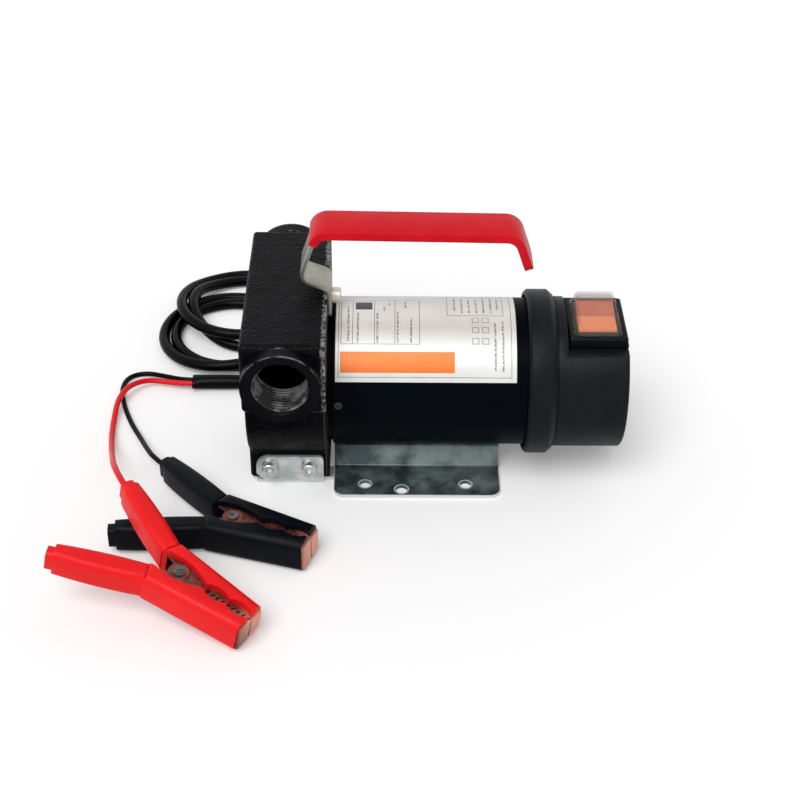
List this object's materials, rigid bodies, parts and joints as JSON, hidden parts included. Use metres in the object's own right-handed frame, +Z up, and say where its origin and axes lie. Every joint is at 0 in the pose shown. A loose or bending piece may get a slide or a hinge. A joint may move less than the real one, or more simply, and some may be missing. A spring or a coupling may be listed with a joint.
{
  "type": "fluid transfer pump",
  "caption": "Electric vane transfer pump: threaded ports, a tubular motor with a rocker switch, a carrying handle, a base bracket and a supply cable that ends in battery clamps.",
  "frame": {"origin": "centre of the base bracket's four bolt holes, on the surface it stands on", "axes": "+X along the motor towards the switch, +Y towards the back port, +Z up"},
  "size_m": [0.3052, 0.3566, 0.1512],
  "materials": {
    "head_paint": "satin crinkle paint",
    "plate_metal": "satin",
    "gasket": "matte",
    "motor_paint": "semi-gloss",
    "label_foil": "satin foil with an orange band",
    "cap_plastic": "satin",
    "switch_plastic": "satin",
    "rocker_plastic": "gloss",
    "boot_plastic": "clear and flexible",
    "strap_zinc": "zinc plated",
    "grip_plastic": "gloss",
    "fastener_zinc": "zinc plated",
    "fastener_black": "black oxide",
    "bracket_galvanised": "spangled galvanising",
    "bell_metal": "as cast",
    "machined_steel": "ground",
    "bearing_steel": "polished",
    "core_steel": "varnished laminations",
    "copper": "enamelled wire",
    "ferrite": "matte",
    "carbon": "matte",
    "brass": "satin",
    "vane_plastic": "satin",
    "seal_rubber": "matte",
    "spring_steel": "drawn wire",
    "cable_jacket": "semi-gloss",
    "red_jacket": "semi-gloss",
    "red_cover": "semi-gloss",
    "black_cover": "semi-gloss",
    "copper_plate": "copper plated"
  },
  "bodies": {
    "pump": {"pump_head": "head_paint", "head_cover": "head_paint", "cover_gasket": "gasket", "cover_screws": "fastener_black", "shaft_seal": "seal_rubber", "bypass_spring": "spring_steel", "bypass_retainer": "brass", "plate_gasket": "gasket", "motor_plate": "plate_metal", "front_bell": "bell_metal", "bell_screws": "fastener_zinc", "front_bearing": "bearing_steel", "motor_can": "motor_paint", "can_screws": "fastener_zinc", "field_magnets": "ferrite", "rear_bell": "bell_metal", "rear_bearing": "bearing_steel", "tie_bolts": "fastener_zinc", "brush_holders": "brass", "brushes": "carbon", "brush_springs": "spring_steel", "data_label": "label_foil", "end_cap": "cap_plastic", "cap_screws": "fastener_black", "cable_gland": "seal_rubber", "switch_housing": "switch_plastic", "switch_boot": "boot_plastic", "handle_strap": "strap_zinc", "handle_grip": "grip_plastic", "handle_screw": "fastener_black", "base_bracket": "bracket_galvanised", "spring_washers": "fastener_zinc", "bracket_screws": "fastener_zinc", "supply_cable": "cable_jacket", "cable_coil": "cable_jacket", "cable_tail": "cable_jacket", "cable_sleeve": "cable_jacket", "red_wire": "red_jacket", "black_wire": "cable_jacket", "red_clamp_fixed_jaw": "copper_plate", "red_clamp_fixed_cover": "red_cover", "red_clamp_rivet": "fastener_zinc", "red_clamp_spring": "spring_steel", "black_clamp_fixed_jaw": "copper_plate", "black_clamp_fixed_cover": "black_cover", "black_clamp_rivet": "fastener_zinc", "black_clamp_spring": "spring_steel"},
    "armature": {"armature_shaft": "machined_steel", "armature_core": "core_steel", "armature_windings": "copper", "commutator": "copper", "pump_rotor": "machined_steel", "rotor_vanes": "vane_plastic"},
    "bypass_valve": {"bypass_poppet": "vane_plastic"},
    "rocker": {"switch_rocker": "rocker_plastic"},
    "red_jaw": {"red_clamp_moving_jaw": "copper_plate", "red_clamp_moving_cover": "red_cover"},
    "black_jaw": {"black_clamp_moving_jaw": "copper_plate", "black_clamp_moving_cover": "black_cover"}
  },
  "joints": [
    {"name": "armature_spin", "type": "hinge", "parent": "pump", "child": "armature", "pos_m": [0, 0, 0.055], "axis": [1, 0, 0], "continuous": true},
    {"name": "bypass_lift", "type": "slide", "parent": "pump", "child": "bypass_valve", "axis": [0, 1, 0], "range_m": [0, 0.004], "stiffness_N_per_m": 2500, "springref_m": -0.006, "deforming": ["bypass_spring"]},
    {"name": "rocker_hinge", "type": "hinge", "parent": "pump", "child": "rocker", "pos_m": [0.09895, 0, 0.088], "axis": [1, 0, 0], "range_deg": [-12, 0]},
    {"name": "red_jaw_hinge", "type": "hinge", "parent": "pump", "child": "red_jaw", "pos_m": [-0.12277, -0.13819, 0.02039], "axis": [-0.1972, 0.1218, -0.9728], "range_deg": [0, 30], "stiffness_Nm_per_rad": 0.9, "springref_deg": -28.65, "deforming": ["red_clamp_spring"]},
    {"name": "black_jaw_hinge", "type": "hinge", "parent": "pump", "child": "black_jaw", "pos_m": [-0.09895, -0.08387, 0.01], "axis": [0, 0, -1], "range_deg": [0, 30], "stiffness_Nm_per_rad": 0.9, "springref_deg": -28.65, "deforming": ["black_clamp_spring"]}
  ]
}
